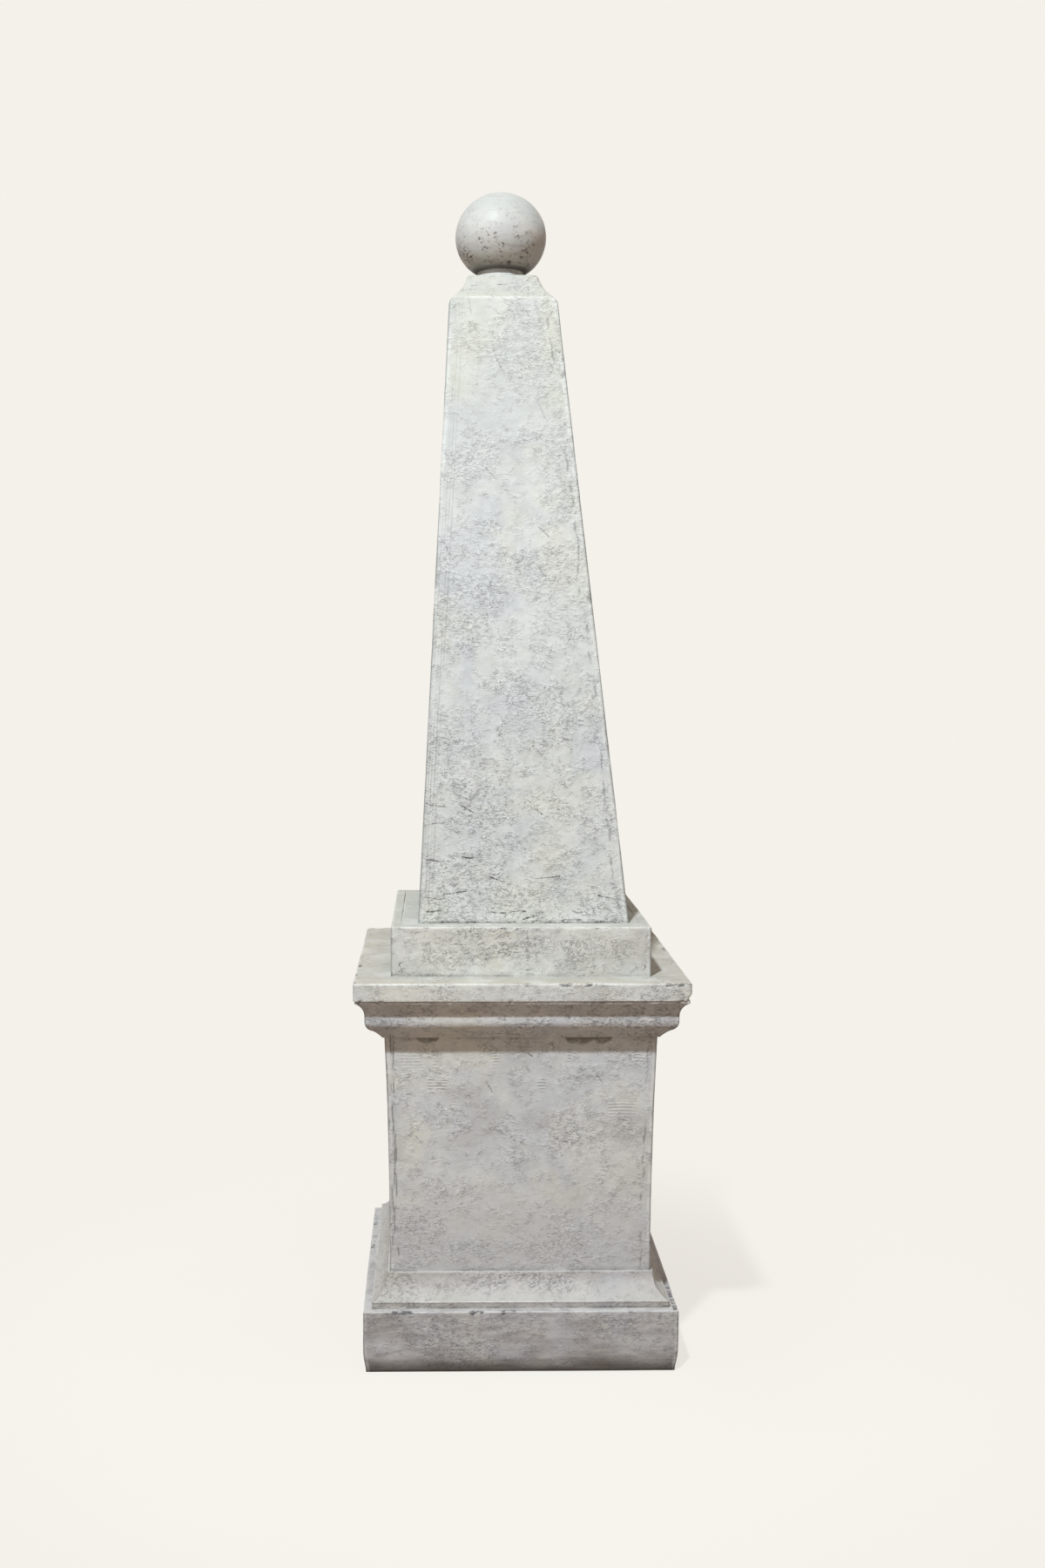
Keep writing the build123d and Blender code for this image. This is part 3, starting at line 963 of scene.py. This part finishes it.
        # Dark joints and chips, and grime with painted shade in the corners between members, in patches
        patchy_dark = self.patch(0.006, 3.0, 0.6, 0.0, 37.0, 0.25, 0.55, 0.45, 1.0)
        self.cover(self.times(self.mark("dirt_and_shade"), patchy_dark, 0.9), self.dark * 0.55)
        blotch = self.patch(0.012, 4.0, 0.6, 0.4, 39.0, 0.30, 0.55, 0.5, 1.0)
        self.cover(self.times(self.mark("stain"), blotch, 0.8), (0.15, 0.13, 0.10))

    def emboss(self):
        """Lips and creases where the paint is rough, and a fine grain everywhere."""
        height = self.times(self.fold, self.ease(self.rough, 0.0, 1.0, 0.12, 1.1))
        soft = self.noise(0.019, 3.0, 0.5, 0.3, 41.0)
        for layer, strength in ((soft, 0.45), (self.marks, -0.5), (self.lip, 0.35), (self.curl, -0.4),
                                (self.comb, 0.35), (self.grain, 0.05), (self.groove, -0.7)):
            height = self.plus(height, self.times(layer, strength))
        self.bump(height, 1.3 * MM)


def paint(name, pale, flecks=0.6, smudges=0.5, cloudy=0.5, slant=0.0, smears=0.0, grime=0.0, damp_and_shade=0.0,
          fading=False, dust_and_shade=(0.62, 0.65, 0.67), ledge=(0.85, 0.85, 0.82), glare=1.13):
    """The paint of one member: its pale ground, and how strong each effect is."""
    coat = Paint(name, pale)
    coat.cloud(cloudy)
    coat.roughen(flecks, smudges, slant, fading)
    coat.curl_and_comb()
    coat.weather(dust_and_shade, ledge, fading, damp_and_shade)
    if smears:
        coat.smear(smears)
    if grime:
        coat.darken_foot(grime)
    coat.wear(glare)
    coat.emboss()
    return coat.finish(coat.ease(coat.mottle, 0.3, 0.7, 0.62, 0.86))


BALL_MIDDLE = COLLAR_TOP + 68 * MM


def ball_paint():
    """The same paint on the turned ball, smoother and with a soft shine, pitted towards its foot. Its upper
    half, its foot above the collar and the joint with the collar are painted darker, as painted shade.
    """
    graph = Graph("ball_paint", (0.61, 0.605, 0.56))
    clouds = graph.noise(0.07, 4.0, 0.55, 0.6, 2.0)
    graph.cover(graph.ease(clouds, 0.35, 0.65), (0.55, 0.55, 0.525))
    graph.cover(graph.times(graph.patch(0.05, 3.0, 0.5, 0.3, 6.0, 0.45, 0.7), 0.5), (0.60, 0.555, 0.49))
    # Painted shade: the ball's upper half is painted darker, against the lamp's light there
    painted_shade_top = graph.ease(graph.level(), BALL_MIDDLE - 0.005, BALL_MIDDLE + 0.060, 0.0, 0.70)
    graph.cover(painted_shade_top, (0.40, 0.41, 0.375))
    smudge = graph.patch((0.030, 0.030, 0.014), 4.0, 0.6, 0.8, 9.0, 0.50, 0.68)
    low = graph.ease(graph.level(), BALL_MIDDLE + 0.02, COLLAR_TOP)
    graph.cover(graph.times(smudge, graph.plus(graph.times(low, 0.35), 0.22)), (0.30, 0.27, 0.235))
    # Painted shade: the ball's foot just above the collar is painted darker
    graph.cover(graph.ease(graph.level(), COLLAR_TOP + 0.016, COLLAR_TOP, 0.0, 0.6), (0.20, 0.18, 0.14))
    lower = graph.ease(graph.level(), BALL_MIDDLE + 0.04, BALL_MIDDLE - 0.04, 0.15, 1.0)
    cluster = graph.times(graph.patch(0.035, 3.0, 0.5, 0.5, 12.0, 0.45, 0.57), lower)
    pit = graph.times(graph.ease(graph.cells(0.0105, 4.0), 0.30, 0.12), cluster)
    speck = graph.patch((0.0075, 0.0075, 0.0045), 2.0, 0.6, 0.6, 15.0, 0.58, 0.64)
    # Painted shade: a dark line where the ball meets the collar
    crease = graph.ease(graph.level(), COLLAR_TOP + 0.007, COLLAR_TOP + 0.001, 0.0, 0.8)
    hole = graph.most(graph.times(pit, 0.9), graph.times(speck, cluster, 0.9), graph.mark("dirt_and_shade"), crease)
    graph.cover(graph.times(hole, 0.9), (0.07, 0.06, 0.05))
    ridges = graph.noise((0.030, 0.030, 0.016), 3.0, 0.5, 0.8, 19.0)
    grain = graph.noise(0.0025, 2.0, 0.5, 0.0, 21.0)
    graph.bump(graph.plus(ridges, graph.times(hole, -0.6), graph.times(grain, 0.05)), 0.5 * MM)
    return graph.finish(graph.ease(clouds, 0.3, 0.7, 0.44, 0.56), 0.15)


def bare_board():
    """Unpainted board on the underside: fine streaks along the grain and a few darker knots."""
    graph = Graph("bare_board", (0.36, 0.26, 0.16))
    streak = graph.noise((0.30, 0.006, 0.02), 4.0, 0.6, 0.4, 1.0)
    graph.cover(graph.ease(streak, 0.35, 0.65), (0.24, 0.16, 0.095))
    knot = graph.ease(graph.cells((0.35, 0.12, 0.2), 3.0), 0.16, 0.05)
    graph.cover(graph.times(knot, 0.7), (0.12, 0.07, 0.04))
    graph.cover(graph.times(graph.patch(0.05, 4.0, 0.6, 0.4, 7.0, 0.52, 0.7), 0.5), (0.30, 0.28, 0.25))
    graph.bump(streak, 0.5 * MM)
    return graph.finish(graph.ease(streak, 0.3, 0.7, 0.7, 0.9), 0.2)


warm_dust_and_shade = (0.70, 0.70, 0.66)
plinth_paint = paint("plinth_paint", (0.58, 0.57, 0.56), 0.6, 0.6, smears=0.6, grime=0.90,
                     dust_and_shade=warm_dust_and_shade, ledge=(0.98, 0.98, 0.95), glare=1.15)
base_paint = paint("base_paint", (0.62, 0.605, 0.575), 0.7, 0.6, slant=28,
                   dust_and_shade=warm_dust_and_shade, ledge=(0.80, 0.80, 0.77), glare=1.20)
cornice_paint = paint("cornice_paint", (0.70, 0.70, 0.675), 0.90, 0.9)
die_paint = paint("die_paint", (0.735, 0.74, 0.70), 0.50, 0.85, damp_and_shade=0.8)
slab_paint = paint("slab_paint", (0.74, 0.745, 0.695), 0.60, 0.5,
                   dust_and_shade=(0.47, 0.50, 0.51), ledge=(0.66, 0.62, 0.56), glare=1.08)
block_paint = paint("block_paint", (0.72, 0.72, 0.67), 0.75, 0.65, slant=14,
                    dust_and_shade=(0.58, 0.60, 0.61), ledge=(0.66, 0.66, 0.62), glare=1.05)
shaft_paint = paint("shaft_paint", (0.705, 0.716, 0.672), 0.64, 0.5, 0.42, fading=True)
# The cap's paint is darker than the shaft's, partly as painted shade for its tops, which catch more light
cap_paint = paint("cap_paint", (0.57, 0.56, 0.495), 0.5, 0.5, 0.3)
collar_paint = paint("collar_paint", (0.64, 0.63, 0.575), 0.5, 0.5, 0.3)
ball_finish = ball_paint()
board_finish = bare_board()


# ---------------------------------------------------------------------------------------------
# Pieces
# ---------------------------------------------------------------------------------------------

def in_metres(points, foot):
    """Profile points given in mm, raised to start at a level."""
    return np.array(points, float) * MM + (0, foot)


def base_profile():
    """Undercut fillet, hollow slope and small lip against the die."""
    slope = arc((5.5, 57.5), (34.5, 12.5), (0, -1))[::-1]
    points = [(33, 0), (33, 9.5), *slope, (5.5, 60.5), (0, 60.5)]
    return rounded_profile(in_metres(points, PLINTH_TOP), 1.6 * MM, 1.8 * MM)


def cornice_profile():
    """Fillet, lower hollow, round, upper hollow and top fillet."""
    lower = arc((2, 0), (20, 17), (0.8, 1))
    bulge = arc((34.5, 38), (20, 17), (0, -1))[::-1]
    upper = arc((34.5, 47), (52, 75), (0, 1))
    points = [(0, 0), *lower, *bulge[1:], *upper[1:], (52, 80.5), (0, 80.5)]
    return rounded_profile(in_metres(points, CORNICE_FOOT), 1.2 * MM, 2.0 * MM)


def ring_piece(name, grid, material, nodes, smoothness=1.0):
    """A piece from rings, whose arrises, which show wear and are painted paler as a highlight, are found
    from how sharply it bends.
    """
    facing = facings(grid)
    climb = np.linalg.norm(np.gradient(facing, axis=0), axis=-1)
    length = np.linalg.norm(np.gradient(grid, axis=0), axis=-1)
    edge = ease(climb / np.maximum(length, 0.2 * MM), 60, 200)
    lift = np.full(grid.shape[:2], smoothness)
    return skin(name, grid, facing, lift, edge, 0 * edge, material, nodes)


FINE, PLAIN = 3.0 * MM, 4.5 * MM


def step_for(side):
    """Mesh step: finest on the front."""
    return FINE if side == "front" else PLAIN


for side in SIDES:
    step = step_for(side)
    foot, head = (0.0, PLINTH_HALF, 0.0), (PLINTH_TOP, PLINTH_HALF, 0.0)
    board("plinth_" + side, side, foot, head, step, "plinth_paint", plinth_paint,
          top=2.5 * MM, worn_foot=5 * MM)
    foot, head = (PLINTH_TOP, DIE_FOOT_HALF, 0.0), (SLAB_FOOT, half_at(SLAB_FOOT - MM), 0.0)
    board("die_" + side, side, foot, head, step, "die_paint", die_paint, bow=3.5 * MM)
    foot, head = (SLAB_TOP - 1 * MM, BLOCK_HALF, 0.0), (BLOCK_TOP, BLOCK_HALF, 0.0)
    board("block_" + side, side, foot, head, step, "slab_paint", block_paint, back=7 * MM, top=3 * MM)
    foot = (BLOCK_TOP - 2 * MM, SHAFT_FOOT_HALF, SHAFT_FOOT_X)
    head = (SHAFT_TOP, SHAFT_TOP_HALF, SHAFT_TOP_X)
    board("shaft_" + side, side, foot, head, step, "shaft_paint", shaft_paint,
          arris=3.5 * MM, shoulder=9 * MM)
    for member, profile, half, material in (("base_moulding_", base_profile(), DIE_FOOT_HALF, base_paint),
                                            ("cornice_", cornice_profile(), DIE_HEAD_HALF, cornice_paint)):
        moulding(member + side, side, profile, half, step, material)

slab_line = [(0.300, SLAB_FOOT), (SLAB_HALF, SLAB_FOOT), (SLAB_HALF, SLAB_TOP), (0.236, SLAB_TOP)]
slab_line = rounded_profile(slab_line, 3.0 * MM, 2.6 * MM)
slab_grid = square_rings(slab_line, 0.0, FINE, (5 * MM, 8 * MM, 18 * MM, 5 * MM))
# The slab's lower right end is worn away
near_end = ease(slab_grid[..., 0], SLAB_HALF - 25.5 * MM, SLAB_HALF)
worn_end = near_end * ease(slab_grid[..., 2], SLAB_FOOT + 16 * MM, SLAB_FOOT)
slab_grid[..., 0] -= 7 * MM * worn_end
ring_piece("cornice_slab_skin", slab_grid, slab_paint, ["cornice_slab"])

inner = BLOCK_HALF - BOARD
deck_line = [(inner, BLOCK_TOP - 6 * MM), (inner, BLOCK_TOP), (0.190, BLOCK_TOP)]
deck_line = rounded_profile(deck_line, 0.6 * MM, 3.0 * MM)
deck_grid = square_rings(deck_line, 0.0, PLAIN, 4 * [1 * MM])
ring_piece("block_top_skin", deck_grid, block_paint, ["block_top"])

cap_foot, cap_head = SHAFT_TOP_HALF / MM - 7, CAP_TOP_HALF / MM
hollow = arc((cap_head + 3, 46), (cap_foot, 3), (0.28, -1))[::-1]
cap_line = [(cap_foot - 2, -1), (cap_foot + 1, 0), *hollow, (cap_head, 50), (30, 50)]
cap_line = rounded_profile(in_metres(cap_line, SHAFT_TOP), 1.5 * MM, 2.0 * MM)
cap_grid = square_rings(cap_line, SHAFT_TOP_X, FINE, 4 * [5 * MM])
ring_piece("shaft_cap_skin", cap_grid, cap_paint, ["shaft_cap"])

collar_line = [(30, -0.5), (50, -0.5), (50, 8.5), (45, 8.5), (45, 18.5), (30, 18.5)]
collar_line = rounded_profile(in_metres(collar_line, CAP_TOP), 1.8 * MM, 1.2 * MM)
collar_grid = round_rings(collar_line, BALL_X, 180)
ring_piece("ball_collar_skin", collar_grid, collar_paint, ["ball_collar"], 0.5)


def ball_profile():
    """Half outline of the ball: flat foot, fuller waist and slightly flatter ends."""
    waist_radius, half_height, radius = 80.0, 85.0, 89.0
    end_radius = radius ** 2 + half_height ** 2 - 2 * radius * waist_radius
    end_radius /= 2 * (half_height - waist_radius)
    foot_radius = 50.0
    rise = end_radius - half_height
    drop = (ball_high[2] - COLLAR_TOP) / MM - half_height
    joint = np.array((radius - waist_radius, rise))
    joint = joint / np.linalg.norm(joint) * waist_radius + (radius - waist_radius, 0)
    middle = COLLAR_TOP / MM + drop
    spoke = joint * (1, -1) - (0, rise)
    downward = np.array((spoke[1], -spoke[0]))
    upper = [*arc((radius, 0), joint, (0, 1), 30), *arc((0.4, half_height), joint, (1, 0), 40)[::-1][1:]]
    lower = arc((radius, 0), joint * (1, -1), (0, -1), 30)[::-1]
    tail = arc(joint * (1, -1), (foot_radius, -drop), downward, 30)[::-1]
    points = [(30, -drop), *tail, *lower[1:], *upper[1:]]
    return rounded_profile(in_metres(points, middle * MM), 1.5 * MM, 2.0 * MM)


ball_grid = round_rings(ball_profile(), BALL_X, 240)
ring_piece("ball_finial_skin", ball_grid, ball_finish, ["ball_finial"], 0.6)

for node, material in (("plinth_bottom", board_finish), ("plinth_deck", plinth_paint)):
    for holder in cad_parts[node].material_slots:
        holder.material = material


# ---------------------------------------------------------------------------------------------
# Light, floor and camera
# ---------------------------------------------------------------------------------------------

BACKGROUND = (0.905, 0.880, 0.823)


def key_light():
    """One soft disc, high in front and to the left."""
    data = bpy.data.lights.new("key", "AREA")
    data.shape = "DISK"
    data.size = 0.35
    data.energy = 365
    data.color = (0.90, 0.985, 1.07)
    lamp = bpy.data.objects.new("key", data)
    bpy.context.scene.collection.objects.link(lamp)
    lamp.location = (-1.3, -3.4, 5.85)
    aim = np.array((0.0, 0.0, 1.1)) - np.array(lamp.location)
    lamp.rotation_euler = (math.atan2(math.hypot(aim[0], aim[1]), -aim[2]), 0, math.atan2(-aim[0], aim[1]))


def seen(tree):
    """1 for rays from the camera and for what it sees mirrored or through glass, 0 for lighting rays."""
    path = tree.nodes.new("ShaderNodeLightPath")
    result = path.outputs["Is Camera Ray"]
    for name in ("Is Glossy Ray", "Is Transmission Ray"):
        either = tree.nodes.new("ShaderNodeMath")
        either.operation = "MAXIMUM"
        tree.links.new(result, either.inputs[0])
        tree.links.new(path.outputs[name], either.inputs[1])
        result = either.outputs[0]
    return result


def room_light():
    """An even warm glow from all round, and the pale background that the camera sees."""
    world = bpy.data.worlds.new("room")
    bpy.context.scene.world = world
    world.use_nodes = True
    tree = world.node_tree
    glow = tree.nodes["Background"]
    glow.inputs[0].default_value = (1.0, 0.87, 0.79, 1)
    glow.inputs[1].default_value = 0.40
    backdrop = tree.nodes.new("ShaderNodeBackground")
    backdrop.inputs[0].default_value = (*BACKGROUND, 1)
    switch = tree.nodes.new("ShaderNodeMixShader")
    tree.links.new(seen(tree), switch.inputs[0])
    tree.links.new(glow.outputs[0], switch.inputs[1])
    tree.links.new(backdrop.outputs[0], switch.inputs[2])
    tree.links.new(switch.outputs[0], tree.nodes["World Output"].inputs[0])


def floor():
    """A pale floor that melts into the background and keeps a soft shadow near the object."""
    count, radius = 96, 9.0
    turn = np.linspace(0, 2 * math.pi, count, endpoint=False)
    rim = np.stack([radius * np.cos(turn), radius * np.sin(turn), np.zeros(count)], axis=1)
    mesh = bpy.data.meshes.new("floor")
    mesh.from_pydata(rim.tolist(), [], [list(range(count))])
    disc = bpy.data.objects.new("floor", mesh)
    bpy.context.scene.collection.objects.link(disc)
    disc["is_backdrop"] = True
    graph = Graph("floor_paint", (0.27, 0.20, 0.15))
    cloud = graph.noise(0.5, 3.0)
    nodes, links = graph.tree.nodes, graph.tree.links
    visible = seen(graph.tree)
    pale = graph.mix(graph.ease(cloud, 0.3, 0.7), (0.60, 0.585, 0.55), (0.62, 0.605, 0.57))
    graph.cover(visible, pale)
    graph.finish(graph.ease(cloud, 0.3, 0.7, 0.8, 0.9), 0.0)
    reach = nodes.new("ShaderNodeVectorMath")
    reach.operation = "LENGTH"
    links.new(graph.place, reach.inputs[0])
    fade = graph.ease(reach.outputs["Value"], 0.45, 1.3, 0.72, 1.0)
    share = graph.times(fade, visible)
    glow = nodes.new("ShaderNodeEmission")
    glow.inputs[0].default_value = (*BACKGROUND, 1)
    links.new(graph.ease(reach.outputs["Value"], 0.45, 1.3, 1.14, 1.0), glow.inputs[1])
    switch = nodes.new("ShaderNodeMixShader")
    links.new(share, switch.inputs[0])
    links.new(graph.shader.outputs[0], switch.inputs[1])
    links.new(glow.outputs[0], switch.inputs[2])
    links.new(switch.outputs[0], nodes["Material Output"].inputs[0])
    mesh.materials.append(graph.material)


def camera():
    """Eye-height camera in front, a little to the left."""
    data = bpy.data.cameras.new("camera")
    data.sensor_width = 36
    data.lens = 38.361
    data.shift_x = 0.0333
    eye = bpy.data.objects.new("camera", data)
    bpy.context.scene.collection.objects.link(eye)
    eye.location = (-0.1564, -3.3725, 1.3690)
    eye.rotation_euler = tuple(math.radians(angle) for angle in (85.395, -0.125, -1.069))
    bpy.context.scene.camera = eye


key_light()
room_light()
floor()
camera()
bpy.context.scene.view_settings.view_transform = "Standard"

visual_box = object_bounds()
sizes = {"cad": cad_box, "visual": visual_box}
sizes = {key: [list(map(float, corner)) for corner in value] for key, value in sizes.items()}
